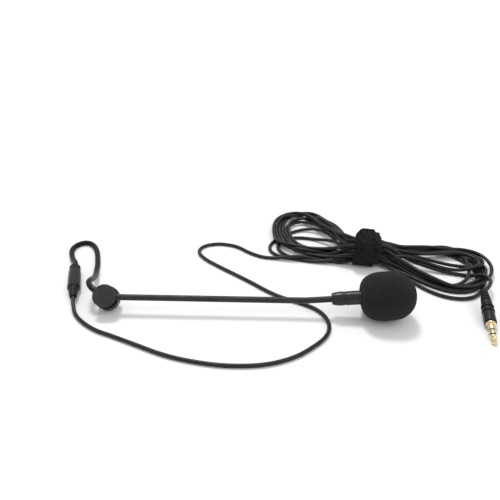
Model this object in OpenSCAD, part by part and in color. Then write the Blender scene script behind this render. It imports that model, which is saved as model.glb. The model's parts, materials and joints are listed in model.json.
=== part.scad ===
// Attachable boom microphone: a magnetic clasp, a bendable boom, a capsule in a metal
// barrel under a foam windscreen, and a lead with an inline connector, a tied hank of
// cable and a 3.5 mm jack plug. The object lies on the plane z = 0 with the boom along X.
// Millimetres. The origin is under the middle of the microphone, without its cable.

/* [Clasp] */
// Diameter of the two toothed discs
clasp_d = 14; // [13.6:0.1:15]
// Diameter of the flat cap over the hub
cap_d = 13.3; // [12:0.1:14]
// Thickness of the cap
cap_t = 2.4; // [1.8:0.1:3]
// Diameter of the hub's neck, between the cap and the toothed disc
neck_d = 9.6; // [9:0.1:10.5]
// Height of the neck, which takes the boom and the lead
neck_h = 4.1; // [4:0.1:4.6]
// Thickness of the hub's toothed disc
flange_t = 1.6; // [1.4:0.1:2]
// Thickness of the base cup
cup_t = 2.3; // [2.1:0.1:3]
// Thickness of the adhesive pad
pad_t = 0.8; // [0.5:0.1:1.2]
// Tilt of the clasp as it lies, from upright
clasp_tilt = 45; // [40:1:50]
// Number of teeth round each disc
tooth_count = 24; // [16:1:32]
// Number of grip grooves round the base cup
groove_count = 40; // [24:1:48]

/* [Boom] */
// Diameter of the boom's rubber sleeve
boom_d = 3.6; // [3:0.1:3.8]
// Diameter of the wire core that holds the bend
core_d = 1.2; // [0.8:0.1:1.4]
// Distance from the clasp's axis to the first bend
first_bend = 12; // [10:0.5:14]
// Distance between two bends
bend_pitch = 20.5; // [19:0.5:22]
// Number of bends
bend_count = 6; // [6:1:6]

/* [Head] */
// Diameter of the capsule barrel
barrel_d = 8; // [7.4:0.1:9]
// Distance from the last bend to the barrel
barrel_start = 15; // [14:0.5:17]
// Length of the rear shell that shows
rear_shell_l = 7; // [6:0.5:8]
// Length of the front shell
front_shell_l = 21.7; // [20:0.1:23]
// Diameter of the microphone capsule
capsule_d = 6; // [5.6:0.1:6]
// Largest diameter of the foam windscreen
foam_d = 28; // [26:0.5:30]
// Length of the foam windscreen
foam_l = 31.3; // [30:0.1:33]
// Distance from the barrel's rear end to the foam
foam_start = 15.7; // [15:0.1:17]

/* [Cords] */
// Diameter of the short lead
lead_d = 3.4; // [3:0.1:3.6]
// Diameter of the long cable
cable_d = 2.3; // [2.2:0.1:2.3]
// Diameter of the inline connector
connector_d = 7.6; // [7:0.1:7.6]
// Width of the hook-and-loop tie
tie_w = 13.5; // [12:0.5:15]
// Diameter of the plug's barrel
plug_d = 7.1; // [6.6:0.1:7.1]
// Diameter of the jack pin
pin_d = 3.5; // [3.5:0.1:3.5]

/* [Hidden] */
$fn = 48;
eps = 0.01;

// Clasp, measured along its own axis from the boom's axis at 0
cap_face = neck_h / 2 + cap_t;
flange_face = -neck_h / 2 - flange_t;
tooth_h = 0.35;
tooth_gap = 0.1;
cup_face = flange_face - 2 * tooth_h - tooth_gap;
cup_back = cup_face - cup_t;
pad_back = cup_back - pad_t;
pad_r = clasp_d / 2 - 0.6;
tooth_inner_r = 4.7;
slot_start = 4.3;
groove_depth = 0.25;
groove_w = 0.45;
magnet_r = 4;
magnet_clear = 0.05;
hub_magnet_t = 1;
cavity_r = 3.2;
cavity_floor = -1.4;
lead_angle = 150;
grommet_end = neck_d / 2 + 5;

// The clasp lies on the rim of its pad, so its height follows from its tilt
boom_z = pad_r * sin(clasp_tilt) - pad_back * cos(clasp_tilt);
half_l = 91.5;
hub_x = clasp_d / 2 - half_l;
knee_x = hub_x + first_bend + (bend_count - 1) * bend_pitch;

// Boom joints: a ball end in a cup, with room to bend
ball_clear = 0.05;
cup_start = 0.9;
core_start = 1.95;
core_end = 1.5;
core_clear = 0.02;

// Head, measured along its own axis from the last bend, and tipped up until the foam just rests
foam_rear = barrel_start + foam_start;
foam_front = foam_rear + foam_l;
foam_wide = foam_rear + 16.5;
foam_rise = 0.2;
head_pitch = asin((foam_d / 2 + foam_rise - boom_z) / foam_wide);
spigot_r = barrel_d / 2 - 0.72;
shell_in_r = barrel_d / 2 - 0.7;
rear_end = barrel_start + rear_shell_l;
ring_t = 0.8;
front_start = rear_end + ring_t;
front_end = front_start + front_shell_l;
grille_x = front_end - 1.3;
grille_t = 0.7;
felt_t = 0.6;
capsule_front = grille_x - felt_t;
capsule_l = 2.7;
board_t = 0.5;
foam_clear = 0.05;

// Inline connector, measured along its own axis from the lead's end
connector_pos = [-116.5, 40.5, connector_d / 2];
connector_turn = -74;
collar_l = 6;
socket_end = 25;
connector_l = 34;

// Plug, measured along its own axis from the front of its barrel
plug_pos = [132, -10, 3.6];
plug_turn = -100;
plug_dip = 9;
plug_relief_l = 8.5;
plug_rear = -26;
flange_l = 1;
sleeve_end = 4.8;
ring_start = 5.6;
ring_end = 8;
tip_start = 8.8;
pin_end = 15;
rod_r = 0.5;
rod_sleeve_r = 0.8;

// Hank: the strands run through the tie between two open loops
tie_x = 73;
tie_y = 61;
tie_out = [22, 19];
waist = [16, 9];
waist_z = 5;
loop_h = 8;
tie_clear = 0.02;
waist_half_l = tie_w / 2 + 3;

// Left loop and right loop of the hank, as corner circles: x, y, radius
left_loop = [[22, 70, 12], [26, 108, 12], [36, 118, 9], [50, 66, 8], [58, 80, 10]];
right_loop = [[88, 60, 9], [116, 62, 10], [145, 56, 12], [134, 32, 12], [120, 27, 10]];

// Route of the short lead, from the grommet to the connector
lead_route = [
    [-93, 3.5, 13.3], [-95.2, 5.6, 14.3], [-96.6, 10, 13.8], [-97.4, 16, 11.2], [-98.6, 23, 7.6],
    [-100.3, 31, 4.4], [-102.3, 39, 2.3], [-104.2, 48, 1.8], [-107, 58, 1.7], [-110.5, 67.5, 1.7],
    [-115.5, 75, 1.7], [-121, 77.5, 1.7], [-126, 74, 1.7], [-127.5, 67, 1.7], [-125, 59, 1.7],
    [-121.5, 52, 2.4], [-118.3, 46.7, 3.4], [-116.5, 40.5, 3.8],
];

// Route of the long cable, from the connector to the hank
cable_route = [
    [-107, 8, 3.8], [-105, 1, 2.6], [-101.5, -6, 1.3], [-95, -13, 1.2], [-86, -19.5, 1.2],
    [-76, -24, 1.2], [-61, -31, 1.2], [-47, -37.5, 1.2], [-33, -42, 1.2], [-16, -45, 1.2],
    [0, -45, 1.2], [12.5, -42.5, 1.2], [24, -37, 1.2], [33, -29.5, 1.2], [40, -21.5, 1.2],
    [43, -13, 1.2], [42, -4.5, 1.2], [38, 2.5, 1.2], [31, 8, 1.2], [17.5, 15, 1.2],
    [9, 21, 1.2], [-2, 31, 1.2], [-12, 39.5, 1.2], [-24, 49.5, 1.2], [-34, 59, 1.2],
    [-39, 68, 1.2], [-36, 76, 1.2], [-26, 79.5, 1.2], [-14, 76.5, 1.2], [-4, 68, 1.2],
    [5, 62.5, 1.2], [14, 61, 1.2],
];

// Route of the cable from the hank to the plug
plug_route = [[144.5, 26, 8.8], [141, 20.5, 8.6], [136.5, 15.3, 7.7]];

colour_black = [0.09, 0.09, 0.1];
colour_gold = [0.83, 0.66, 0.32];
colour_steel = [0.7, 0.7, 0.72];

BENDS = [for (k = [0:bend_count]) k];

// ---- Frames of the assemblies ----

// Clasp frame: Z is the clasp's axis, towards its cap, and X runs along the boom
module in_clasp() translate([hub_x, 0, boom_z]) rotate([clasp_tilt, 0, 0]) children();

// Boom frame: X runs along the boom, from the clasp's axis
module in_boom() translate([hub_x, 0, boom_z]) children();

// Head frame: X runs along the barrel, from the last bend
module in_head() translate([knee_x, 0, boom_z]) rotate([0, -head_pitch, 0]) children();

// Connector frame: X runs from the lead's end to the cable's end
module in_connector() translate(connector_pos) rotate([0, 0, connector_turn]) children();

// Plug frame: X runs from the front of the barrel to the tip
module in_plug() translate(plug_pos) rotate([0, 0, plug_turn]) rotate([0, plug_dip, 0]) children();

// ---- Shapes that repeat ----

// A solid of revolution about X from a profile of [x, radius] points
module turned(profile) rotate([90, 0, 90]) rotate_extrude() polygon([for (p = profile) [p[1], p[0]]]);

// A tube along X
module tube_x(from, to, outer_r, inner_r) {
    translate([from, 0, 0]) rotate([0, 90, 0]) difference() {
        cylinder(h = to - from, r = outer_r);
        if (inner_r > 0) translate([0, 0, -1]) cylinder(h = to - from + 2, r = inner_r);
    }
}

// Radial slots between the teeth of a disc whose face is at z
module tooth_slots(z) {
    slot_w = PI * clasp_d / tooth_count / 2;
    for (k = [0:tooth_count - 1]) rotate([0, 0, k * 360 / tooth_count])
        translate([slot_start, -slot_w / 2, z]) cube([clasp_d, slot_w, tooth_h + eps]);
}

// ---- Cords: a round tube swept along a smooth curve through a route's points ----

cord_sides = 8;
function unit(v) = v / norm(v);
function blend_point(a, b, c, d, t) =
    0.5 * (2 * b + (c - a) * t + (2 * a - 5 * b + 4 * c - d) * t * t + (3 * b - a - 3 * c + d) * t * t * t);
function route_point(route, s) =
    let (last = len(route) - 1, k = min(floor(s), last - 1))
    blend_point(route[max(k - 1, 0)], route[k], route[k + 1], route[min(k + 2, last)], s - k);
function ring_points(centre, along, r) =
    let (side = unit(cross(along, [0, 0, 1])), up = cross(side, along))
    [for (j = [0:cord_sides - 1]) let (a = 360 * (j + 0.5) / cord_sides)
        centre + r * (cos(a) * side + sin(a) * up)];

module cord(route, d, steps) {
    spans = len(route) - 1;
    count = spans * steps + 1;
    centres = [for (i = [0:count - 1]) route_point(route, i / steps)];
    rings = [for (i = [0:count - 1])
        ring_points(centres[i], unit(centres[min(i + 1, count - 1)] - centres[max(i - 1, 0)]), d / 2)];
    sides = [for (i = [0:count - 2]) for (j = [0:cord_sides - 1])
        let (a = i * cord_sides + j, b = i * cord_sides + (j + 1) % cord_sides)
        [a, b, b + cord_sides, a + cord_sides]];
    start = [[for (j = [0:cord_sides - 1]) cord_sides - 1 - j]];
    end = [[for (j = [0:cord_sides - 1]) (count - 1) * cord_sides + j]];
    polyhedron(points = [for (ring = rings) for (p = ring) p], faces = concat(start, sides, end));
}

// ---- Clasp, microphone side ----

module hub_cap() color([0.26, 0.26, 0.27]) in_clasp() rotate_extrude() polygon([
    [0, neck_h / 2 - 0.8], [cavity_r - 0.02, neck_h / 2 - 0.8], [cavity_r - 0.02, neck_h / 2],
    [cap_d / 2 - 0.3, neck_h / 2], [cap_d / 2, neck_h / 2 + 0.3],
    [cap_d / 2, cap_face - 0.35], [cap_d / 2 - 0.35, cap_face], [0, cap_face],
]);

module hub_body() color(colour_black) in_clasp() difference() {
    union() {
        translate([0, 0, -neck_h / 2]) cylinder(h = neck_h, d = neck_d);
        translate([0, 0, flange_face - tooth_h]) cylinder(h = flange_t + tooth_h, d = clasp_d);
    }
    translate([0, 0, cavity_floor]) cylinder(h = neck_h, r = cavity_r);
    rotate([0, 90, 0]) cylinder(h = neck_d, d = boom_d);
    rotate([0, 0, lead_angle]) rotate([0, 90, 0]) cylinder(h = neck_d, d = lead_d);
    translate([0, 0, flange_face - tooth_h - eps]) cylinder(h = tooth_h + 2 * eps, r = tooth_inner_r);
    translate([0, 0, flange_face - eps]) cylinder(h = hub_magnet_t + eps, r = magnet_r);
    tooth_slots(flange_face - tooth_h - eps);
}

module hub_magnet() color(colour_steel) in_clasp()
    translate([0, 0, flange_face]) cylinder(h = hub_magnet_t, r = magnet_r);

module hub_board() color([0.1, 0.35, 0.2]) in_clasp() translate([0, 0, cavity_floor]) {
    cylinder(h = 0.3, r = cavity_r - 0.1);
    for (y = [-1.8, 1.8]) translate([0, y, 0.3 - eps]) cylinder(h = 0.3, r = 0.6);
}

module core_crimp() color(colour_steel) in_boom() tube_x(0.9, 2.9, 1.05, core_d / 2 + core_clear);

module boom_collar() color(colour_black) in_boom()
    tube_x(neck_d / 2, neck_d / 2 + 1.8, 2.02, boom_d / 2);

module lead_grommet() color(colour_black) in_clasp() rotate([0, 0, lead_angle]) difference() {
    turned([[neck_d / 2 - 1.4, 0], [neck_d / 2 - 1.4, lead_d / 2], [neck_d / 2, lead_d / 2],
        [neck_d / 2, 2.02], [neck_d / 2 + 1, 2.02], [grommet_end, lead_d / 2], [grommet_end, 0]]);
    tube_x(neck_d / 2 - 2, neck_d / 2 - 0.2, 1.2, 0);
}

// ---- Clasp, base side ----

module base_magnet() color(colour_steel) in_clasp() {
    front = flange_face - tooth_h - tooth_gap;
    back = cup_back + 0.6 + magnet_clear;
    translate([0, 0, back]) cylinder(h = front - back, r = magnet_r);
}

module base_cup() color(colour_black) in_clasp() difference() {
    translate([0, 0, cup_back]) cylinder(h = cup_t + tooth_h, d = clasp_d);
    translate([0, 0, cup_back + 0.6]) cylinder(h = cup_t + 1, r = magnet_r + magnet_clear);
    translate([0, 0, cup_face]) cylinder(h = tooth_h + eps, r = tooth_inner_r);
    tooth_slots(cup_face);
    for (k = [0:groove_count - 1]) rotate([0, 0, k * 360 / groove_count])
        translate([clasp_d / 2 - groove_depth, -groove_w / 2, cup_back - 1])
            cube([1, groove_w, cup_t + 1 - 0.3]);
}

module adhesive_pad() color([0.2, 0.2, 0.2]) in_clasp()
    translate([0, 0, pad_back]) cylinder(h = pad_t, r = pad_r);

// ---- Boom ----

// Where bend k is, counted from 1, from the clasp's axis; the sleeve before it ends there
function bend_x(k) = first_bend + (k - 1) * bend_pitch;

// A length of sleeve from one end to the ball centre at the other
module sleeve_link(from, to) {
    difference() {
        union() {
            tube_x(from, to, boom_d / 2, 0);
            translate([to, 0, 0]) sphere(d = boom_d);
        }
        tube_x(from - 1, to + boom_d, core_d / 2 + core_clear, 0);
        if (from > boom_d) translate([from - cup_start, 0, 0]) sphere(r = boom_d / 2 + ball_clear);
    }
}

// The last length of sleeve, which ends inside the barrel
module sleeve_tail() {
    difference() {
        tube_x(cup_start, barrel_start + 5, boom_d / 2, core_d / 2 + core_clear);
        sphere(r = boom_d / 2 + ball_clear);
    }
}

module boom_sleeve(k) color(colour_black) {
    if (k == 0) in_boom() sleeve_link(cavity_r + 0.1, bend_x(1));
    else if (k < bend_count) in_boom() sleeve_link(bend_x(k) + cup_start, bend_x(k + 1));
    else in_head() sleeve_tail();
}

module boom_core(k) color(colour_steel) {
    if (k == 0) in_boom() tube_x(1, bend_x(1) + core_end, core_d / 2, 0);
    else if (k < bend_count) in_boom() tube_x(bend_x(k) + core_start, bend_x(k + 1) + core_end, core_d / 2, 0);
    else in_head() tube_x(core_start, barrel_start + 6, core_d / 2, 0);
}

// ---- Head ----

module barrel_crimp() color(colour_steel) in_head()
    tube_x(barrel_start + 1.4, barrel_start + 4.8, boom_d / 2 + 0.6, boom_d / 2);

module barrel_rear() color(colour_black) in_head() {
    outer_r = barrel_d / 2;
    turned([
        [barrel_start, boom_d / 2], [barrel_start, outer_r - 1.05], [barrel_start + 1, outer_r - 0.4],
        [barrel_start + 2.2, outer_r - 0.25], [barrel_start + 2.7, outer_r], [rear_end - 0.4, outer_r],
        [rear_end, outer_r - 0.4], [rear_end, spigot_r], [rear_end + 3.2, spigot_r],
        [rear_end + 3.2, spigot_r - 0.6], [barrel_start + 1.4, spigot_r - 0.6],
        [barrel_start + 1.4, boom_d / 2],
    ]);
}

module vent_ring() color([0.05, 0.05, 0.05]) in_head() difference() {
    tube_x(rear_end, front_start, barrel_d / 2 - 0.45, spigot_r);
    for (a = [0:60:300]) rotate([a, 0, 0])
        translate([rear_end + 0.2, -0.8, spigot_r + 0.05]) cube([ring_t - 0.4, 1.6, 1]);
}

module barrel_front() color(colour_black) in_head() {
    outer_r = barrel_d / 2;
    turned([
        [front_start, shell_in_r], [front_start, outer_r - 0.35], [front_start + 0.35, outer_r],
        [front_end - 0.6, outer_r], [front_end, outer_r - 0.6], [front_end, shell_in_r - 0.5],
        [front_end - 0.6, shell_in_r - 0.5], [front_end - 0.6, shell_in_r],
    ]);
}

module front_grille() color(colour_steel) in_head() difference() {
    tube_x(grille_x, grille_x + grille_t, shell_in_r, 0);
    for (ring = [[1, 0], [6, 1.05], [12, 2.1]]) for (k = [0:ring[0] - 1])
        rotate([k * 360 / ring[0], 0, 0]) translate([0, 0, ring[1]])
            tube_x(grille_x - 1, grille_x + grille_t + 1, 0.28, 0);
}

module damping_felt() color([0.3, 0.3, 0.3]) in_head()
    tube_x(capsule_front, grille_x, shell_in_r, 0);

module capsule_can() color(colour_steel) in_head() difference() {
    tube_x(capsule_front - capsule_l, capsule_front, capsule_d / 2, 0);
    tube_x(capsule_front - capsule_l - 1, capsule_front - 0.3, capsule_d / 2 - 0.25, 0);
    tube_x(capsule_front - 1, capsule_front + 1, 0.8, 0);
}

module capsule_board() color([0.1, 0.35, 0.2]) in_head() {
    back = capsule_front - capsule_l;
    tube_x(back, back + board_t, capsule_d / 2 - 0.25, 0);
    for (y = [-1.2, 1.2]) translate([0, y, 0]) tube_x(back - 0.35, back + eps, 0.6, 0);
}

module capsule_wires() color([0.7, 0.1, 0.1]) in_head()
    for (y = [-1.2, 1.2]) translate([0, y, 0])
        tube_x(barrel_start + 5.2, capsule_front - capsule_l - 0.35, 0.3, 0);

module capsule_boot() color([0.1, 0.1, 0.1]) in_head()
    tube_x(capsule_front - capsule_l - 1.2, capsule_front, shell_in_r, capsule_d / 2);

// Foam profile: a blunt nose and a squarer shoulder on either side of the widest point
function bulge(u, power) = pow(1 - pow(abs(u), power), 1 / power);
module foam_windscreen() color([0.12, 0.12, 0.12]) in_head() {
    nose_l = foam_front - foam_wide;
    tail_l = foam_wide - foam_rear;
    max_r = foam_d / 2;
    hole_r = barrel_d / 2 + foam_clear;
    tail = [for (i = [0:10]) let (u = 0.975 * cos(i * 9)) [foam_wide - u * tail_l, max_r * bulge(u, 2.7)]];
    nose = [for (i = [1:12]) let (u = sin(i * 7.5)) [foam_wide + u * nose_l, max_r * bulge(u, 2.2)]];
    turned(concat(
        [[foam_rear + 2.6, hole_r], [foam_rear, hole_r + 1.2]], tail, nose,
        [[front_end + 0.5, 0], [front_end + 0.5, hole_r]]
    ));
}

// ---- Short lead and inline connector ----

module lead() color(colour_black) cord(lead_route, lead_d, 2);

module connector_collar() color(colour_black) in_connector() difference() {
    r = connector_d / 2;
    turned([
        [0, 0], [0, r - 0.9], [0.6, r - 0.3], [1.4, r - 0.3], [1.7, r - 0.6], [2, r - 0.3],
        [2.8, r - 0.3], [3.1, r - 0.6], [3.4, r - 0.3], [4.2, r - 0.3], [4.5, r - 0.6],
        [4.8, r - 0.3], [collar_l, r - 0.3], [collar_l, 0],
    ]);
    tube_x(collar_l - 2, collar_l + 1, 1.25, 0);
}

module connector_pin() color(colour_gold) in_connector() turned([
    [collar_l - 2, 0], [collar_l - 2, 1.25], [collar_l + 8, 1.25], [collar_l + 9, 0.8],
    [collar_l + 10, 1.1], [collar_l + 11, 0.4], [collar_l + 11, 0],
]);

module connector_socket() color(colour_steel) in_connector()
    tube_x(collar_l, collar_l + 12.5, 2, 1.27);

module connector_body() color(colour_black) in_connector() difference() {
    r = connector_d / 2;
    turned([[collar_l, 0], [collar_l, r - 0.4], [collar_l + 0.4, r], [socket_end - 0.6, r],
        [socket_end, r - 0.6], [socket_end, 0]]);
    tube_x(collar_l - 1, collar_l + 13, 2, 0);
}

// A tapered strain relief with raised ribs, between two x positions
module ribbed_relief(from, to, from_r, to_r, ribs) {
    pitch = (to - from) / ribs;
    slope = (to_r - from_r) / (to - from);
    turned(concat(
        [[from, 0]],
        [for (k = [0:ribs - 1]) let (x = from + k * pitch, r = from_r + slope * k * pitch)
            each [[x, r], [x + 0.55 * pitch, r + slope * 0.55 * pitch],
                [x + 0.65 * pitch, r - 0.5], [x + 0.9 * pitch, r - 0.5]]],
        [[to, to_r], [to, 0]]
    ));
}

module connector_relief() color(colour_black) in_connector()
    ribbed_relief(socket_end, connector_l, connector_d / 2 - 0.7, cable_d / 2 + 0.9, 4);

// ---- Long cable, hank and tie ----

module cable() color(colour_black) cord(cable_route, cable_d, 2);

module loop_plate(corners) linear_extrude(height = loop_h) hull()
    for (c = corners) translate([c[0], c[1]]) circle(r = c[2], $fn = 32);

// The strands where they are gathered, between the loops and through the tie
module waist_block(from, to) translate([from, tie_y - waist[0] / 2, waist_z])
    cube([to - from, waist[0], waist[1]]);

module cable_hank() color(colour_black) {
    left_end = tie_x - waist_half_l;
    right_end = tie_x + waist_half_l;
    hull() {
        loop_plate(left_loop);
        waist_block(left_end - 0.5, left_end);
    }
    hull() {
        loop_plate(right_loop);
        waist_block(right_end, right_end + 0.5);
    }
    waist_block(left_end - 0.5, right_end + 0.5);
}

module rounded_slab(size, r) hull()
    for (y = [-1, 1]) for (z = [-1, 1])
        translate([0, y * (size[0] / 2 - r), z * (size[1] / 2 - r)]) tube_x(0, tie_w, r, 0);

module tie_band() color([0.08, 0.08, 0.08]) translate([tie_x - tie_w / 2, tie_y, tie_out[1] / 2]) difference() {
    rounded_slab(tie_out, 4);
    translate([-1, -waist[0] / 2 - tie_clear, waist_z - tie_out[1] / 2 - tie_clear])
        cube([tie_w + 2, waist[0] + 2 * tie_clear, waist[1] + 2 * tie_clear]);
}

module tie_tail() color([0.08, 0.08, 0.08]) translate([tie_x + tie_w / 2, tie_y, tie_out[1] / 2])
    translate([0, 0, 5]) cube([3.5, 8, 4]);

// ---- Plug ----

module plug_lead() color(colour_black) cord(plug_route, cable_d, 3);

module plug_relief() color(colour_black) in_plug()
    ribbed_relief(plug_rear, plug_rear + plug_relief_l, cable_d / 2 + 0.9, plug_d / 2 - 0.55, 4);

module plug_barrel() color(colour_black) in_plug() difference() {
    r = plug_d / 2;
    start = plug_rear + plug_relief_l;
    turned([
        [start, 0], [start, r - 0.3], [start + 0.4, r], [start + 1.6, r], [start + 2, r - 0.35],
        [start + 2.4, r], [start + 3.8, r], [start + 4.3, r - 0.25], [-0.5, r - 0.15],
        [0, r - 0.6], [0, 0],
    ]);
    tube_x(-4, 1, rod_sleeve_r, 0);
}

module plug_sleeve() color(colour_gold) in_plug() difference() {
    turned([[0, 0], [0, 2.75], [flange_l, 2.75], [flange_l, pin_d / 2], [sleeve_end, pin_d / 2],
        [sleeve_end, 0]]);
    tube_x(-1, sleeve_end + 1, rod_sleeve_r, 0);
}

module plug_insulator() color([0.05, 0.05, 0.05]) in_plug() difference() {
    turned([
        [-4, 0], [-4, rod_sleeve_r], [sleeve_end, rod_sleeve_r], [sleeve_end, pin_d / 2],
        [ring_start, pin_d / 2], [ring_start, rod_sleeve_r], [ring_end, rod_sleeve_r],
        [ring_end, pin_d / 2], [tip_start, pin_d / 2], [tip_start, 0],
    ]);
    tube_x(-5, tip_start + 1, rod_r, 0);
}

module plug_ring() color(colour_gold) in_plug() tube_x(ring_start, ring_end, pin_d / 2, rod_sleeve_r);

module plug_tip() color(colour_gold) in_plug() turned([
    [-4, 0], [-4, rod_r], [tip_start, rod_r], [tip_start, pin_d / 2], [10.4, pin_d / 2],
    [11.7, 1.15], [12.1, 1.15], [12.8, 1.5], [13.5, 1.6], [14.2, 1.35], [14.8, 0.75], [pin_end, 0],
]);

// ---- What is drawn ----

hub_cap();
hub_body();
hub_magnet();
hub_board();
core_crimp();
boom_collar();
lead_grommet();
for (k = BENDS) boom_sleeve(k);
for (k = BENDS) boom_core(k);
barrel_crimp();
barrel_rear();
vent_ring();
barrel_front();
front_grille();
damping_felt();
capsule_can();
capsule_board();
capsule_wires();
capsule_boot();
foam_windscreen();
base_magnet();
base_cup();
adhesive_pad();
lead();
connector_collar();
connector_pin();
connector_socket();
connector_body();
connector_relief();
cable();
cable_hank();
tie_band();
tie_tail();
plug_lead();
plug_relief();
plug_barrel();
plug_sleeve();
plug_insulator();
plug_ring();
plug_tip();
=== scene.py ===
"""Looks of the boom microphone: magnetic clasp, boom, foam windscreen, lead, hank of cable and jack plug.

Lengths are in millimetres, turned into metres by MM. The bodies, the joints and the inner pieces come
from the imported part.
"""

import json
import math

import bmesh
import bpy
import numpy as np
from mathutils import Matrix, Vector, noise


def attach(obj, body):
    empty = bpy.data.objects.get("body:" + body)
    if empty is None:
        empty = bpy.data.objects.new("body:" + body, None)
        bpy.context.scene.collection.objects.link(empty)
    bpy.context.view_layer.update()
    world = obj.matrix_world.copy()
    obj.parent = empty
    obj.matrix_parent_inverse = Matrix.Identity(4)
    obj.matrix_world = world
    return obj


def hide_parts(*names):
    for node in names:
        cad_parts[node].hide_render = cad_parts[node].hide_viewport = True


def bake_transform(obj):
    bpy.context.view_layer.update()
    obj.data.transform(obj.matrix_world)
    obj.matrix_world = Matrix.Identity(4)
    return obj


MM = 0.001
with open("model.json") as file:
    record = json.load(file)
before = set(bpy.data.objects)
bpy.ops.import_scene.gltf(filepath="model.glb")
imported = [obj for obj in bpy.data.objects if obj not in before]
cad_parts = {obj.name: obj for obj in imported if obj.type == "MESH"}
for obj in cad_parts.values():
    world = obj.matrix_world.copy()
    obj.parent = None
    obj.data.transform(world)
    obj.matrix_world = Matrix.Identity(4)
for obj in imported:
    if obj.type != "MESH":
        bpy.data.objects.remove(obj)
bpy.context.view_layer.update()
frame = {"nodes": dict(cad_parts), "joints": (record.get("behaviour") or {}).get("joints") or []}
joints = {j["name"]: j for j in frame["joints"]}

# ---- Sizes, as in the part ----

CAP_D, CAP_T, NECK_D, NECK_H = 13.3, 2.4, 9.6, 4.1
CAP_FACE = NECK_H / 2 + CAP_T
CAVITY_R = 3.2
PAD_BACK, PAD_T, PAD_R = -7.55, 0.8, 6.4
LEAD_ANGLE = 150
GROMMET_END = NECK_D / 2 + 5
BOOM_R, FIRST_BEND = 1.8, 12
SOCKET_R = 2.02
BARREL_R, BARREL_START, REAR_END, FRONT_START, FRONT_END = 4, 15, 22, 22.8, 44.5
SPIGOT_R, SHELL_IN_R = 3.28, 3.3
FOAM_REAR, FOAM_WIDE, FOAM_FRONT, FOAM_R = 30.7, 47.2, 62, 14
LEAD_D, CABLE_D, CONNECTOR_R, PLUG_R, PIN_R = 3.4, 2.3, 3.8, 3.55, 1.75
CONNECTOR_TURN, COLLAR_L, SOCKET_END, CONNECTOR_L = -74, 6, 25, 34
PLUG_REAR, PLUG_RELIEF_L, PLUG_RINGS = -26, 8.5, (-13.2, -9.6)
PLUG_AT, PLUG_HEADING, PLUG_DIP = (132, -10, 3.6), -100, 9
TIE_X, TIE_Y, TIE_W, TIE_OUT = 73, 61, 13.5, 22

# ---- Camera, at the photograph's angle ----

CAMERA_AT = Vector((6.1, -242.7, 182.7)) * MM
CAMERA_HEADING, CAMERA_DIP = math.radians(1.8), math.radians(30)
LENS, SENSOR = 37.44, 36


def make_camera():
    """The camera of the main picture."""
    data = bpy.data.cameras.new("camera")
    data.lens, data.sensor_width = LENS, SENSOR
    data.clip_start, data.clip_end = 0.01, 20
    camera = bpy.data.objects.new("camera", data)
    bpy.context.scene.collection.objects.link(camera)
    turn = Matrix.Rotation(CAMERA_HEADING, 4, "Z") @ Matrix.Rotation(math.pi / 2 - CAMERA_DIP, 4, "X")
    camera.matrix_world = Matrix.Translation(CAMERA_AT) @ turn
    bpy.context.scene.camera = camera


make_camera()

# ---- Cords ----

LEAD_ROUTE = [
    [-93, 3.5, 13.3], [-95.2, 5.6, 14.3], [-96.6, 10, 13.8], [-97.4, 16, 11.2], [-98.6, 23, 7.6],
    [-100.3, 31, 4.4], [-102.3, 39, 2.3], [-104.2, 48, 1.8], [-107, 58, 1.7], [-110.5, 67.5, 1.7],
    [-115.5, 75, 1.7], [-121, 77.5, 1.7], [-126, 74, 1.7], [-127.5, 67, 1.7], [-125, 59, 1.7],
    [-121.5, 52, 2.4], [-118.3, 46.7, 3.4], [-116.5, 40.5, 3.8],
]
CABLE_ROUTE = [
    [-107, 8, 3.8], [-105, 1, 2.6], [-101.5, -6, 1.3], [-95, -13, 1.2], [-86, -19.5, 1.2],
    [-76, -24, 1.2], [-61, -31, 1.2], [-47, -37.5, 1.2], [-33, -42, 1.2], [-16, -45, 1.2],
    [0, -45, 1.2], [12.5, -42.5, 1.2], [24, -37, 1.2], [33, -29.5, 1.2], [40, -21.5, 1.2],
    [43, -13, 1.2], [42, -4.5, 1.2], [38, 2.5, 1.2], [31, 8, 1.2], [17.5, 15, 1.2],
    [9, 21, 1.2], [-2, 31, 1.2], [-12, 39.5, 1.2], [-24, 49.5, 1.2], [-34, 59, 1.2],
    [-39, 68, 1.2], [-36, 76, 1.2], [-26, 79.5, 1.2], [-14, 76.5, 1.2], [-4, 68, 1.2],
    [5, 62.5, 1.2], [14, 61, 1.2],
]
HANK_ENTRY = [[26, 59.5, 1.2], [40, 59, 1.2], [50, 57.5, 2], [58, 55.5, 4]]
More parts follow.
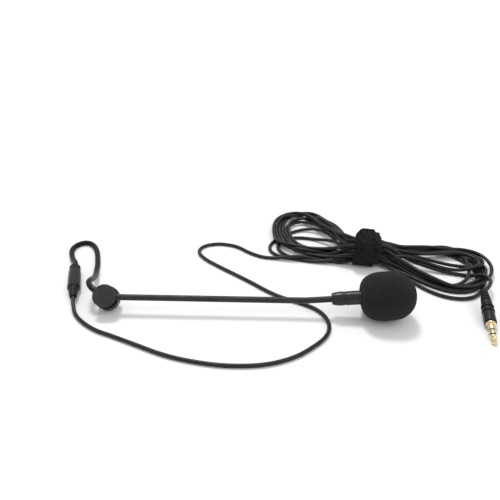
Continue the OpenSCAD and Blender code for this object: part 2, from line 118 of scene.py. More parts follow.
# Each right loop leaves the tie along the front, goes round its end and comes back along the back
RIGHT_LOOPS = [
    [[89, 47, 3.5], [98, 37, 1.4], [107, 26, 1.2], [116, 18.5, 1.2], [127, 17, 1.2], [137, 22, 1.2],
     [145, 33, 1.2], [149, 46, 1.2], [149, 60, 1.2], [143, 71, 1.2], [131, 77, 1.2], [116, 77, 1.4],
     [102, 73, 2.6], [90, 67.5, 5]],
    [[90, 50, 4.5], [99, 42, 2.4], [108, 33.5, 1.4], [117, 26, 1.3], [127, 22.5, 1.4], [135, 25.5, 1.4],
     [142, 36, 1.4], [146, 48, 1.5], [145.5, 60, 1.6], [140, 69.5, 1.8], [130, 74.5, 2],
     [116, 74.5, 2.4], [102, 71, 3.8], [90, 66.5, 6]],
    [[90, 52.5, 6], [99, 45, 3.8], [108, 36.5, 2.2], [117, 29, 1.6], [127, 25, 1.8], [135, 29, 2.2],
     [141, 39, 2.4], [143, 50, 2.6], [141, 60.5, 2.8], [134, 68.5, 3], [124, 71.5, 3.2],
     [113, 70.5, 4], [101, 68, 5.5], [90, 65, 7.5]],
    [[92, 60.5, 9], [104, 61.5, 7.5], [116, 56.5, 6], [126, 51.5, 5.4], [137, 48.5, 5],
     [147, 51, 4.6], [152, 56, 4.6], [151, 62, 4.6], [144, 67.5, 4.8], [132, 67.5, 5], [116, 66, 6],
     [102, 64.5, 7.5], [90, 63, 9.5]],
    [[95, 51, 8.5], [103, 44.5, 7.2], [110, 35, 6.4], [118, 28, 6], [128, 25.5, 6], [138, 28.5, 6],
     [147, 36.5, 6], [153, 45.5, 6], [155, 54, 6], [151, 63, 6.4], [142, 69, 7], [130, 71, 7.6],
     [116, 69.5, 9], [102, 67, 10.5], [90, 66, 11.5]],
]
# Each left loop leaves the tie along the back and comes back along the front
LEFT_LOOPS = [
    [[58, 80, 7], [49, 96, 5.5], [38.5, 104, 3.8], [28, 98, 2.8], [18, 90, 2], [11.5, 82, 1.5],
     [10, 73.5, 1.2], [13, 66, 1.2], [21, 61.5, 1.2], [34, 58.5, 1.2], [46, 57.5, 1.6], [57, 56, 4.5]],
    [[60, 76, 7], [51, 83, 4.5], [38, 89.5, 2], [27, 90, 1.3], [18.5, 85.5, 1.2], [15, 77.5, 1.2],
     [17.5, 69.5, 1.2], [25, 64, 1.2], [36, 61.5, 1.2], [47, 60.5, 2.2], [57, 58.5, 5]],
    [[58, 82, 9.5], [50.5, 97, 7.5], [41, 109.5, 5], [32, 114.5, 3.8], [25.5, 110, 3.6],
     [22.5, 101, 3.6], [22.5, 91, 3.6], [25, 81, 3.6], [31, 73, 3.4], [40, 67.5, 3.6],
     [49, 64.5, 5], [57, 61, 7]],
    [[59, 84, 12], [51.5, 103, 9.5], [43, 120, 6], [33, 129.5, 4.2], [24.5, 124.5, 4],
     [20, 113, 4], [18, 101.5, 4], [18.8, 89, 4], [22, 79, 3.8], [29, 70, 3.6], [39, 65.5, 4],
     [49, 62.5, 5.5], [57, 58.5, 8]],
    [[57.5, 81, 12.5], [48, 99, 10], [39, 114.5, 8], [31, 122.5, 7.5], [24, 123, 7], [17, 117, 6.6],
     [13, 106, 6.4], [12.5, 95, 6.4], [14.5, 85, 6.2], [18.5, 76.5, 6], [25, 71, 6], [34, 68.5, 6],
     [46, 67, 7], [57, 64, 9.5]],
]
HANK_END = [
    [92, 57.5, 8.5], [102, 54, 6.5], [112, 49, 4.5], [122, 45, 3.6], [132, 43.5, 3.6],
    [140.5, 41.5, 4], [145.5, 35.5, 6], [145, 27, 8.4], [141.5, 20.8, 8.6], [136.5, 15.3, 7.7],
]
# Where the strands lie in the tie: y and z of each, two to a row
FRONT_SLOTS = [(55.4 + 2.9 * (k % 2), 4.2 + 2.8 * (k // 2)) for k in range(9)]
BACK_SLOTS = [(62 + 2.9 * (k % 2), 5.6 + 3.2 * (k // 2)) for k in range(8)]
IN_TIE = (67, 79)
# Loops wound beside a listed one, after the third: which one, and how far along x, y and z
BESIDE_RIGHT = [(3, (-4.5, -3.4, 1.2)), (2, (-2.5, 5, 1.6)), (4, (-3.4, 3.2, -2))]
BESIDE_LEFT = [(3, (2.3, -2.2, 0.6)), (4, (2.3, -1, -1.6)), (2, (2, 2.2, 2))]
# How the strands settle: how far apart they are followed and kept, and how they push, cling and sink
PARTICLE_STEP = CABLE_D / 2
SPACING = CABLE_D * 1.02
PUSH, LONGEST_MOVE = 0.18, 0.4
CLING, CLING_REACH = 0.004, 1.4
SINK, FLOOR_GAP = 0.006, 0.02
SETTLE_STEPS = 300
PAIRS_EVERY, PAIRS_SKIP = 8, 12
# The strands are held inside this box about the tie's middle, and at their last few points
TIED_HALF_X, TIED_HALF_Y, TIED_LOWEST = 6.5, 9, 3.2
HELD_END = 6


def smooth_path(route, step):
    """Points about step apart on a smooth curve through the route."""
    p = np.array(route, float)
    q = np.vstack([2 * p[0] - p[1], p, 2 * p[-1] - p[-2]])
    t = np.linspace(0, 1, 24, endpoint=False)[:, None]
    spans = []
    for a, b, c, d in zip(q[:-3], q[1:-2], q[2:-1], q[3:]):
        square, cube = 2 * a - 5 * b + 4 * c - d, 3 * b - a - 3 * c + d
        spans.append(0.5 * (2 * b + (c - a) * t + square * t**2 + cube * t**3))
    return evenly(np.vstack([*spans, p[-1:]]), step)


def evenly(line, step):
    """The same line with its points about step apart."""
    along = np.concatenate([[0], np.cumsum(np.linalg.norm(np.diff(line, axis=0), axis=1))])
    at = np.linspace(0, along[-1], max(2, round(along[-1] / step) + 1))
    return np.stack([np.interp(at, along, line[:, k]) for k in range(3)], axis=1)


def with_neighbours(loops, beside):
    """The listed loops in the order they are wound, with those that lie beside one of them."""
    extra = [[[a + b for a, b in zip(point, shift)] for point in loops[k]] for k, shift in beside]
    return loops[:3] + extra + loops[3:]


def hank_route():
    """The whole cable, from the connector through every turn of the hank to the plug."""
    route = CABLE_ROUTE + HANK_ENTRY
    rights, lefts = with_neighbours(RIGHT_LOOPS, BESIDE_RIGHT), with_neighbours(LEFT_LOOPS, BESIDE_LEFT)
    for right, left, front, back in zip(rights, lefts, FRONT_SLOTS, BACK_SLOTS):
        route = route + [[x, *front] for x in IN_TIE] + right
        route = route + [[x, *back] for x in reversed(IN_TIE)] + left
    return route + [[x, *FRONT_SLOTS[-1]] for x in IN_TIE] + HANK_END


def near_pairs(p, reach, skip):
    """Pairs of points closer than reach that are more than skip apart along the cable."""
    block, found = 600, []
    for a in range(0, len(p), block):
        for b in range(a, len(p), block):
            gap = p[a:a + block, None, :] - p[None, b:b + block, :]
            i, j = np.nonzero((gap**2).sum(2) < reach**2)
            keep = (j + b) - (i + a) > skip
            found.append(np.stack([i[keep] + a, j[keep] + b]))
    return np.concatenate(found, axis=1)


def push_apart(p, i, j, free):
    """Moves strands that cut each other apart, and draws close ones a little together."""
    gap = p[j] - p[i]
    far = np.linalg.norm(gap, axis=1)[:, None] + 1e-9
    apart = np.clip(far - SPACING, 0, CLING_REACH)
    cling = CLING * apart * (1 - apart / CLING_REACH)
    push = (PUSH * np.maximum(SPACING - far, 0) - cling) / far * gap
    move = np.zeros_like(p)
    np.add.at(move, i, -push)
    np.add.at(move, j, push)
    size = np.linalg.norm(move, axis=1)[:, None]
    p += move * np.minimum(1, LONGEST_MOVE / np.maximum(size, 1e-9)) * free


def unkink(p, free):
    """Moves each point towards the smooth curve through its neighbours, near ones and then far ones."""
    for reach, weight in ((1, 0.5), (3, 0.35)):
        n = 2 * reach
        curve = (-p[:-2 * n] + 4 * p[reach:-n - reach] + 4 * p[n + reach:-reach] - p[2 * n:]) / 6
        p[n:-n] += weight * free[n:-n] * (curve - p[n:-n])


def keep_lengths(p, rest, free):
    """Brings every step of the cable back to its own length, the even ones and then the odd ones."""
    for first in (0, 1):
        a = np.arange(first, len(p) - 1, 2)
        gap = p[a + 1] - p[a]
        far = np.linalg.norm(gap, axis=1)
        share = free[a] / np.maximum(free[a] + free[a + 1], 1e-9)
        fix = ((far - rest[a]) / far)[:, None] * gap
        p[a] += fix * share
        p[a + 1] -= fix * (1 - share) * free[a + 1]


def settle(p, held):
    """Lets the strands slide off each other, bunch together and sink to the floor, without stretching."""
    p, free = p.copy(), (~held).astype(float)[:, None]
    rest = np.linalg.norm(np.diff(p, axis=0), axis=1)
    for step in range(SETTLE_STEPS):
        if step % PAIRS_EVERY == 0:
            i, j = near_pairs(p, CABLE_D + CLING_REACH, PAIRS_SKIP)
        p[:, 2:] -= SINK * free
        for _ in range(2):
            push_apart(p, i, j, free)
        unkink(p, free)
        for _ in range(3):
            keep_lengths(p, rest, free)
        p[:, 2] = np.maximum(p[:, 2], CABLE_D / 2 + FLOOR_GAP)
    return p


def cable_line():
    """The settled cable: its lying stretch, its runs through the tie and its end stay where they are."""
    p = smooth_path(hank_route(), PARTICLE_STEP)
    lying = np.arange(len(p)) < np.linalg.norm(p - np.array(CABLE_ROUTE[-1]), axis=1).argmin()
    beside_tie = (abs(p[:, 0] - TIE_X) < TIED_HALF_X) & (abs(p[:, 1] - TIE_Y) < TIED_HALF_Y)
    tied = beside_tie & (p[:, 2] > TIED_LOWEST)
    ending = np.arange(len(p)) > len(p) - HELD_END
    return settle(p, lying | tied | ending)


def cord_curve(name, line, diameter):
    """A round curve through a line's points, in metres."""
    data = bpy.data.curves.new(name, "CURVE")
    data.dimensions, data.bevel_depth, data.bevel_resolution = "3D", diameter / 2 * MM, 5
    data.use_fill_caps = True
    spline = data.splines.new("NURBS")
    spline.points.add(len(line) - 1)
    for point, at in zip(spline.points, line):
        point.co = (*(at * MM), 1)
    spline.order_u, spline.use_endpoint_u, spline.resolution_u = 4, True, 2
    curve = bpy.data.objects.new(name, data)
    bpy.context.scene.collection.objects.link(curve)
    return curve


# ---- Frames of the assemblies: Z is each one's own axis ----


def along_z(at, axis, side=Vector((0, 1, 0))):
    """A frame at a point whose Z is the axis, with Y as near to side as it can be."""
    z = Vector(axis).normalized()
    x = Vector(side).cross(z).normalized()
    return Matrix.Translation(at) @ Matrix((x, z.cross(x), z)).transposed().to_4x4()


BENDS = [Vector(joints[f"boom_bend_{k}"]["pos_m"]) for k in range(1, 7)]
HUB = BENDS[0] - Vector((FIRST_BEND * MM, 0, 0))
CLASP_AXIS = Vector(joints["base_turn"]["axis"])
HEAD_AXIS = Vector(joints["windscreen_pull"]["axis"])
CLASP = along_z(HUB, CLASP_AXIS)
LEAD_OUT = (
    CLASP @ Matrix.Rotation(math.radians(LEAD_ANGLE), 4, "Z") @ Matrix.Rotation(math.pi / 2, 4, "Y")
)
BOOM = along_z(HUB, (1, 0, 0))
HEAD = along_z(BENDS[-1], HEAD_AXIS)
CONNECTOR_AXIS = Matrix.Rotation(math.radians(CONNECTOR_TURN), 3, "Z") @ Vector((1, 0, 0))
CONNECTOR = along_z(Vector(LEAD_ROUTE[-1]) * MM, CONNECTOR_AXIS, (0, 0, 1))
PLUG = (
    Matrix.Translation([k * MM for k in PLUG_AT])
    @ Matrix.Rotation(math.radians(PLUG_HEADING), 4, "Z")
    @ Matrix.Rotation(math.radians(90 + PLUG_DIP), 4, "Y")
)

# ---- Materials ----

# A wave texture draws about this many bands to each unit of its scale
BANDS_PER_SCALE = 3.2


class Surface:
    """A procedural material, built up from its base colour by layers of texture."""

    def __init__(
        self, name, colour, roughness, metallic=0.0, stretch=(1, 1, 1), at=Matrix.Identity(4)
    ):
        self.material = bpy.data.materials.new(name)
        self.material.use_nodes = True
        self.nodes, self.links = self.material.node_tree.nodes, self.material.node_tree.links
        self.shader = self.nodes["Principled BSDF"]
        self.shader.inputs["Metallic"].default_value = metallic
        self.shader.inputs["Roughness"].default_value = roughness
        self.shader.inputs["Base Color"].default_value = (*colour, 1)
        self.normal = None
        place = self.nodes.new("ShaderNodeTexCoord")
        mapping = self.nodes.new("ShaderNodeMapping")
        mapping.vector_type = "TEXTURE"
        mapping.inputs["Location"].default_value = at.to_translation()
        mapping.inputs["Rotation"].default_value = at.to_euler()
        mapping.inputs["Scale"].default_value = [1 / k for k in stretch]
        self.links.new(place.outputs["Object"], mapping.inputs["Vector"])
        self.place = mapping.outputs["Vector"]

    def grain(self, size, detail=3.0):
        """Noise whose blobs are about size millimetres."""
        node = self.nodes.new("ShaderNodeTexNoise")
        node.inputs["Scale"].default_value = 1 / (size * MM)
        node.inputs["Detail"].default_value = detail
        node.inputs["Roughness"].default_value = 0.55
        self.links.new(self.place, node.inputs["Vector"])
        return node.outputs["Fac"]

    def cells(self, size):
        """Cells about size millimetres across, dark at their middles."""
        node = self.nodes.new("ShaderNodeTexVoronoi")
        node.inputs["Scale"].default_value = 1 / (size * MM)
        self.links.new(self.place, node.inputs["Vector"])
        return node.outputs["Distance"]

    def bands(self, size, axis="Z", distortion=0.6):
        """Fine lines round or along the piece, size millimetres apart."""
        node = self.nodes.new("ShaderNodeTexWave")
        node.bands_direction = axis
        node.inputs["Scale"].default_value = 1 / (size * MM) / BANDS_PER_SCALE
        node.inputs["Distortion"].default_value = distortion
        node.inputs["Detail"].default_value = 2
        self.links.new(self.place, node.inputs["Vector"])
        return node.outputs["Fac"]

    def ramp(self, value, low, high, start=0.35, end=0.65):
        """Turns a 0 to 1 value into one between two colours or two numbers."""
        node = self.nodes.new("ShaderNodeValToRGB")
        node.color_ramp.elements[0].position, node.color_ramp.elements[1].position = start, end
        for element, shown in zip(node.color_ramp.elements, (low, high)):
            element.color = (*shown, 1) if isinstance(shown, tuple) else (shown, shown, shown, 1)
        self.links.new(value, node.inputs["Fac"])
        return node.outputs["Color"]

    def tint(self, value, low, high, start=0.35, end=0.65):
        """Varies the colour between low and high with value."""
        self.links.new(self.ramp(value, low, high, start, end), self.shader.inputs["Base Color"])
        return self

    def shine(self, value, low, high):
        """Varies the roughness between low and high with value."""
        self.links.new(self.ramp(value, low, high), self.shader.inputs["Roughness"])
        return self

    def bump(self, value, height, strength=0.6):
        """Raises the surface by value times height millimetres, on top of any bump before it."""
        node = self.nodes.new("ShaderNodeBump")
        node.inputs["Distance"].default_value = height * MM
        node.inputs["Strength"].default_value = strength
        self.links.new(value, node.inputs["Height"])
        if self.normal:
            self.links.new(self.normal, node.inputs["Normal"])
        self.normal = node.outputs["Normal"]
        self.links.new(self.normal, self.shader.inputs["Normal"])
        return self

    def sheen(self, weight, roughness, colour):
        """A pale velvet edge, as on foam and pile."""
        self.shader.inputs["Sheen Weight"].default_value = weight
        self.shader.inputs["Sheen Roughness"].default_value = roughness
        self.shader.inputs["Sheen Tint"].default_value = (*colour, 1)
        return self

    def gloss(self, specular):
        """How strongly the surface mirrors light; 0.5 is ordinary plastic."""
        self.shader.inputs["Specular IOR Level"].default_value = specular
        return self


def moulded(name, colour, roughness, grain=0.25, height=0.02):
    """Moulded plastic or rubber: a fine spark-eroded grain, with slightly rubbed patches."""
    s = Surface(name, colour, roughness)
    paler = tuple(c * 1.6 for c in colour)
    s.tint(s.grain(3.5, 4), colour, paler, 0.4, 0.72)
    s.shine(s.grain(1.7, 5), roughness - 0.06, roughness + 0.09)
    s.bump(s.grain(grain, 2), height)
    return s.bump(s.grain(2.2, 3), 0.03, 0.25).gloss(0.22)


def metal(
    name, colour, roughness, streak=(1, 1, 1), grain=0.3, height=0.006, at=Matrix.Identity(4)
):
    """Plated metal with fine scratches, stretched along the way it was turned."""
    s = Surface(name, colour, roughness, 1.0, streak, at)
    duller = tuple(c * 0.82 for c in colour)
    s.tint(s.grain(1.2, 4), duller, colour)
    s.shine(s.grain(0.5, 5), roughness * 0.75, roughness * 1.35)
    return s.bump(s.grain(grain, 4), height)


def cap_surface():
    """Matt cap of the clasp."""
    return moulded("cap", (0.027, 0.027, 0.0275), 0.56, 0.22, 0.018)


def clasp_surface():
    """Glossier plastic of the hub and the base cup."""
    return moulded("clasp", (0.012, 0.012, 0.013), 0.34, 0.3, 0.01).gloss(0.5)


def rubber_surface():
    """Rubber of the boom, a little uneven along its length."""
    s = Surface("boom_rubber", (0.014, 0.014, 0.015), 0.46, stretch=(0.25, 1, 1))
    s.tint(s.grain(2.5, 4), (0.011, 0.011, 0.012), (0.026, 0.025, 0.025))
    s.shine(s.grain(1.4, 5), 0.4, 0.55)
    s.bump(s.grain(0.4, 3), 0.02)
    return s.bump(s.grain(5, 2), 0.12, 0.3).gloss(0.35)


def cord_surface(name, colour, paler, roughness, gloss):
    """Soft jacket of a cord, with faint waves where it was wound."""
    s = Surface(name, colour, roughness)
    s.tint(s.grain(6, 4), colour, paler)
    s.shine(s.grain(2.4, 5), roughness - 0.05, roughness + 0.08)
    s.bump(s.grain(0.35, 2), 0.012)
    return s.bump(s.grain(3.5, 2), 0.06, 0.35).gloss(gloss)


def barrel_surface():
    """Satin black paint over turned metal, with faint rings from the lathe."""
    s = Surface("barrel", (0.015, 0.015, 0.016), 0.3, 0.3, at=HEAD)
    s.tint(s.grain(1.8, 5), (0.011, 0.011, 0.012), (0.016, 0.016, 0.016))
    s.shine(s.grain(0.9, 5), 0.24, 0.36)
    s.bump(s.bands(0.25), 0.006, 0.35)
    return s.bump(s.grain(0.3, 3), 0.008)


def foam_surface():
    """Open-cell foam: pale cell walls, painted shade darkening the pores, and a soft velvet edge."""
    s = Surface("foam", (0.017, 0.0165, 0.016), 0.95)
    pores = s.cells(0.55)
    # Painted shade: the colour is darkest in the pores, where the bump below sinks the surface
    s.tint(pores, (0.006, 0.006, 0.006), (0.021, 0.0195, 0.019), 0.1, 0.75)
    s.shine(s.grain(0.8, 3), 0.88, 1.0)
    s.bump(pores, 0.35, 0.9)
    s.bump(s.grain(0.25, 3), 0.1, 0.6)
    return s.sheen(0.08, 0.6, (0.55, 0.52, 0.5)).gloss(0.1)


def tie_surface():
    """Loop pile: tangled fibres with a soft sheen."""
    s = Surface("tie", (0.012, 0.012, 0.013), 0.95)
    s.tint(s.cells(0.9), (0.003, 0.003, 0.004), (0.03, 0.03, 0.033), 0.15, 0.7)
    s.shine(s.grain(0.6, 3), 0.85, 1.0)
    s.bump(s.cells(0.45), 0.3, 0.9)
    s.bump(s.grain(0.18, 4), 0.12, 0.8)
    return s.sheen(0.05, 0.5, (0.4, 0.4, 0.42)).gloss(0.05)


def pad_surface():
    """Fine-celled foam of the adhesive pad."""
    s = Surface("pad", (0.03, 0.03, 0.031), 0.8)
    s.tint(s.cells(0.4), (0.018, 0.018, 0.019), (0.05, 0.05, 0.05), 0.1, 0.7)
    s.shine(s.grain(1.2, 4), 0.7, 0.92)
    return s.bump(s.cells(0.35), 0.08)


def board_surface():
    """Green circuit board with faint raised tracks."""
    s = Surface("board", (0.02, 0.12, 0.05), 0.4)
    s.tint(s.grain(0.9, 3), (0.015, 0.09, 0.04), (0.03, 0.17, 0.07))
    s.shine(s.grain(0.5, 3), 0.3, 0.5)
    return s.bump(s.bands(0.6, "X", 0), 0.02)


def felt_surface():
    """Grey felt of the capsule's damping disc."""
    s = Surface("felt", (0.09, 0.09, 0.092), 0.95)
    s.tint(s.grain(0.3, 5), (0.05, 0.05, 0.052), (0.15, 0.15, 0.15))
    s.shine(s.grain(0.4, 3), 0.88, 1.0)
    return s.bump(s.grain(0.12, 4), 0.06).sheen(0.3, 0.5, (0.7, 0.7, 0.7))


MATERIALS = {
    "cap": cap_surface(),
    "clasp": clasp_surface(),
    "boom_rubber": rubber_surface(),
    "cord": cord_surface("cord", (0.007, 0.0068, 0.0068), (0.016, 0.0145, 0.0135), 0.36, 0.3),
    "lead": cord_surface("lead", (0.005, 0.005, 0.0053), (0.011, 0.011, 0.011), 0.42, 0.15),
    "moulding": moulded("moulding", (0.009, 0.009, 0.0095), 0.36, 0.3, 0.012),
    "barrel": barrel_surface(),
    "foam": foam_surface(),
    "tie": tie_surface(),
    "pad": pad_surface(),
    "board": board_surface(),
    "felt": felt_surface(),
    "magnet": metal("magnet", (0.6, 0.6, 0.61), 0.26),
    "solder_steel": metal("solder_steel", (0.52, 0.52, 0.53), 0.34, (0.2, 1, 1)),
    "grille": metal("grille", (0.42, 0.42, 0.43), 0.36),
    "capsule": metal("capsule", (0.62, 0.62, 0.63), 0.3),
    "gold": metal("gold", (0.93, 0.72, 0.42), 0.18, (1, 1, 0.2), 0.5, 0.002, PLUG),
    "insulator": moulded("insulator", (0.01, 0.01, 0.01), 0.38),
    "wire": moulded("wire", (0.35, 0.02, 0.015), 0.4),
}
MATERIALS = {slot: surface.material for slot, surface in MATERIALS.items()}

# ---- Mesh builders ----


def add_mesh(name, verts, faces, material, at=Matrix.Identity(4)):
    """A mesh object from points in millimetres in the frame at."""
    data = bpy.data.meshes.new(name)
    data.from_pydata([at @ (Vector(v) * MM) for v in verts], [], faces)
    mesh = bmesh.new()
    mesh.from_mesh(data)
    bmesh.ops.remove_doubles(mesh, verts=mesh.verts, dist=1e-6)
    bmesh.ops.recalc_face_normals(mesh, faces=mesh.faces)
    mesh.to_mesh(data)
    mesh.free()
    data.polygons.foreach_set("use_smooth", [True] * len(data.polygons))
    data.materials.append(MATERIALS[material])
    piece = bpy.data.objects.new(name, data)
    bpy.context.scene.collection.objects.link(piece)
    return piece


def tube_faces(rows, around, first=0):
    """Four-sided faces between rings of points that follow each other, from point first on."""
    faces = []
    for i in range(rows - 1):
        for k in range(around):
            a, b = first + i * around + k, first + i * around + (k + 1) % around
            faces.append((a, b, b + around, a + around))
    return faces


def rounded(profile, radius, steps=4):
    """A profile of (axis position, radius) points with its corners rounded off."""
    points = [Vector(p) for p in profile]
    out = [points[0]]
    for before, corner, after in zip(points, points[1:], points[2:]):
        a, b = before - corner, after - corner
        turn = a.angle(b, math.pi)
        cut = min(radius / max(math.tan(turn / 2), 0.2), 0.45 * a.length, 0.45 * b.length)
        if math.pi - turn < 0.12:
            out.append(corner)
            continue
        start, end = corner + a.normalized() * cut, corner + b.normalized() * cut
        for k in range(steps + 1):
            t = k / steps
            out.append(start * (1 - t) ** 2 + corner * 2 * t * (1 - t) + end * t**2)
    return [tuple(p) for p in out + [points[-1]]]


def turned(name, profile, at, material, radius, segments=96, shape=None):
    """A solid turned about Z from a profile of (position, radius), its corners rounded.

    shape moves a point: it takes position, radius and angle, and gives position and radius.
    """
    line = rounded(profile, radius) if radius else profile
    shape = shape or (lambda z, r, angle: (z, r))
    verts = []
    for z, r in line:
        for k in range(segments):
            angle = 2 * math.pi * k / segments
            zz, rr = shape(z, r, angle)
            verts.append((rr * math.cos(angle), rr * math.sin(angle), zz))
    return add_mesh(name, verts, tube_faces(len(line), segments), material, at)


def place(piece, body, slot, *nodes):
    """A piece rides on a body and stands for CAD nodes. The slot is not used."""
    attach(piece, body)
    if nodes:
        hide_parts(*nodes)
    return piece


# ---- Clasp ----


def make_clasp():
    """Cap, boom collar, lead grommet and adhesive pad; the hub and the base cup are the CAD's own."""
    top = CAP_FACE
    cap = turned("cap", [
        (NECK_H / 2 - 0.8, 0), (NECK_H / 2 - 0.8, CAVITY_R - 0.02), (NECK_H / 2, CAVITY_R - 0.02),
        (NECK_H / 2, CAP_D / 2 - 0.3), (NECK_H / 2 + 0.3, CAP_D / 2), (top - 0.35, CAP_D / 2),
        (top, CAP_D / 2 - 0.35), (top, 0),
    ], CLASP, "cap", 0.3)
    place(cap, "hub", "cap", "hub_cap")
    collar = turned("boom_collar_moulding", [
        (NECK_D / 2, BOOM_R), (NECK_D / 2, SOCKET_R), (NECK_D / 2 + 1.8, SOCKET_R),
        (NECK_D / 2 + 1.8, BOOM_R),
    ], BOOM, "moulding", 0.15, 64)
    place(collar, "hub", "moulding", "boom_collar")
    r = LEAD_D / 2
    grommet = turned("lead_grommet_moulding", [
        (NECK_D / 2 - 1.4, 0), (NECK_D / 2 - 1.4, r), (NECK_D / 2, r), (NECK_D / 2, SOCKET_R),
        (NECK_D / 2 + 1, SOCKET_R), (GROMMET_END, r + 0.02), (GROMMET_END, 0),
    ], LEAD_OUT, "moulding", 0.2, 64)
    place(grommet, "hub", "moulding", "lead_grommet")
    pad = turned("foam_pad", [
        (PAD_BACK, 0), (PAD_BACK, PAD_R), (PAD_BACK + PAD_T, PAD_R), (PAD_BACK + PAD_T, 0),
    ], CLASP, "pad", 0.18)
    place(pad, "base_clasp", "pad", "adhesive_pad")
    return grommet


# ---- Boom ----

# A reach of the sleeve on each side of a joint, and how deep its end sits in the barrel
BEND_REACH, ANCHOR_DEPTH = 5, 5


def make_boom():
    """The sleeve, in one piece for each bend; the pieces meet half way between bends."""
    first_start = HUB + Vector(((CAVITY_R + 0.1) * MM, 0, 0))
    last_end = BENDS[-1] + HEAD_AXIS * (BARREL_START + ANCHOR_DEPTH) * MM
    for k, bend in enumerate(BENDS):
        start = first_start if k == 0 else (BENDS[k - 1] + bend) / 2
        end = last_end if k == 5 else (bend + BENDS[k + 1]) / 2
        sleeve = sleeve_piece(f"boom_sleeve_piece_{k + 1}", start, bend, end)
        nodes = [f"boom_sleeve_{k}"] + (["boom_sleeve_6"] if k == 5 else [])
        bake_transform(sleeve)
        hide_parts(*nodes)


def sleeve_piece(name, start, bend, end):
    """A rubber tube that follows start, bend and end, all in metres, with a soft corner."""
    step, segments = 0.7, 40
    line = evenly(np.array([list(start), list(bend), list(end)], float) / MM, step)
    for _ in range(12):
        line[1:-1] = (line[:-2] + 2 * line[1:-1] + line[2:]) / 4
    verts = []
    for i, at in enumerate(line):
        along = Vector(line[min(i + 1, len(line) - 1)] - line[max(i - 1, 0)]).normalized()
        side = Vector((0, 1, 0))
        up = along.cross(side)
        for k in range(segments):
            angle = 2 * math.pi * k / segments
            verts.append(Vector(at) + BOOM_R * (math.cos(angle) * side + math.sin(angle) * up))
    return add_mesh(name, verts, tube_faces(len(line), segments), "boom_rubber")


# ---- Head ----


VENT_HALF_ANGLE, VENT_DEPTH = 24, 0.55


def make_barrel():
    """The barrel's rear and front shells."""
    r, start = BARREL_R, BARREL_START
    rear = turned("barrel_rear_shell", [
        (start + 1.4, BOOM_R), (start, BOOM_R), (start, r - 0.85), (start + 0.5, r - 0.6),
        (start + 3.2, r - 0.05), (start + 3.8, r), (REAR_END - 0.15, r), (REAR_END, r - 0.15),
        (REAR_END, SPIGOT_R), (REAR_END + 3.2, SPIGOT_R), (REAR_END + 3.2, SPIGOT_R - 0.6),
        (start + 1.4, SPIGOT_R - 0.6), (start + 1.4, BOOM_R),
    ], HEAD, "barrel", 0.12)
    place(rear, "head", "barrel", "barrel_rear")
    front = turned("barrel_front_shell", [
        (FRONT_START + 0.2, SHELL_IN_R), (FRONT_START, SHELL_IN_R), (FRONT_START, r - 0.15),
        (FRONT_START + 0.15, r), (FRONT_END - 0.6, r), (FRONT_END, r - 0.6),
        (FRONT_END, SHELL_IN_R - 0.5), (FRONT_END - 0.6, SHELL_IN_R - 0.5),
        (FRONT_END - 0.6, SHELL_IN_R), (FRONT_START + 0.2, SHELL_IN_R),
    ], HEAD, "barrel", 0.1)
    place(front, "head", "barrel", "barrel_front")


def make_vent():
    """The band between the shells, with its slot on the side that faces down."""
    r = BARREL_R
    under = HEAD.inverted().to_3x3() @ Vector((0, 0, -1))
    under_angle, half_slot = math.atan2(under.y, under.x), math.radians(VENT_HALF_ANGLE)

    def slotted(z, radius, angle):
        """Sinks the band's face where it looks down."""
        turn = abs((angle - under_angle + math.pi) % (2 * math.pi) - math.pi)
        return z, min(radius, r - VENT_DEPTH) if turn < half_slot else radius

    vent = turned("vent_band", [
        (REAR_END + 0.02, SPIGOT_R + 0.02), (REAR_END + 0.02, r - 0.22),
        (FRONT_START - 0.02, r - 0.22), (FRONT_START - 0.02, SPIGOT_R + 0.02),
        (REAR_END + 0.02, SPIGOT_R + 0.02),
    ], HEAD, "barrel", 0.05, shape=slotted)
    place(vent, "head", "vent", "vent_ring")


def bulge(u, power):
    """The foam's outline: how wide it is, from 1 in the middle to 0 at its end, where u is 1."""
    return (1 - abs(u) ** power) ** (1 / power)


def make_windscreen():
    """Foam ball: its pores are dents in the mesh, and it swells a little unevenly."""
    tail_l, nose_l, hole_r = FOAM_WIDE - FOAM_REAR, FOAM_FRONT - FOAM_WIDE, BARREL_R + 0.05
    steps, segments = ((110, 260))
    tail = [0.985 * math.cos(math.pi / 2 * i / steps) for i in range(steps + 1)]
    nose = [math.sin(math.pi / 2 * i / steps) for i in range(1, steps + 1)]
    outside = [(FOAM_WIDE - u * tail_l, FOAM_R * bulge(u, 3.1)) for u in tail]
    outside += [(FOAM_WIDE + u * nose_l, FOAM_R * bulge(u, 2.2)) for u in nose]
    mouth = [
        (FOAM_REAR + 2.6, hole_r), (FOAM_REAR + 1.2, hole_r + 0.3), (FOAM_REAR + 0.4, hole_r + 0.8),
    ]
    bore = [(FRONT_END + 0.5, 0.02), (FRONT_END + 0.5, hole_r), (FOAM_REAR + 2.6, hole_r)]

    def pores(z, r, angle):
        """Dents the outside at each cell and leaves the bore smooth."""
        at = Vector((r * math.cos(angle), r * math.sin(angle), z))
        if r < hole_r + 0.3 and z < FRONT_END + 1:
            return z, r
        cell = noise.voronoi(at / 0.75)[0][0]
        lump = noise.noise(at / 6)
        dent = 0.3 * max(0, 0.6 - cell) + 0.12 - 0.12 * lump
        inward = Vector((at.x, at.y, (z - FOAM_WIDE) * 0.8)).normalized() * dent
        return z - inward.z, max(0, r - math.hypot(inward.x, inward.y))

    foam = turned("windscreen_foam", bore + mouth + outside, HEAD, "foam", 0, segments, pores)
    place(foam, "windscreen", "foam", "foam_windscreen")


# ---- Connector and plug ----


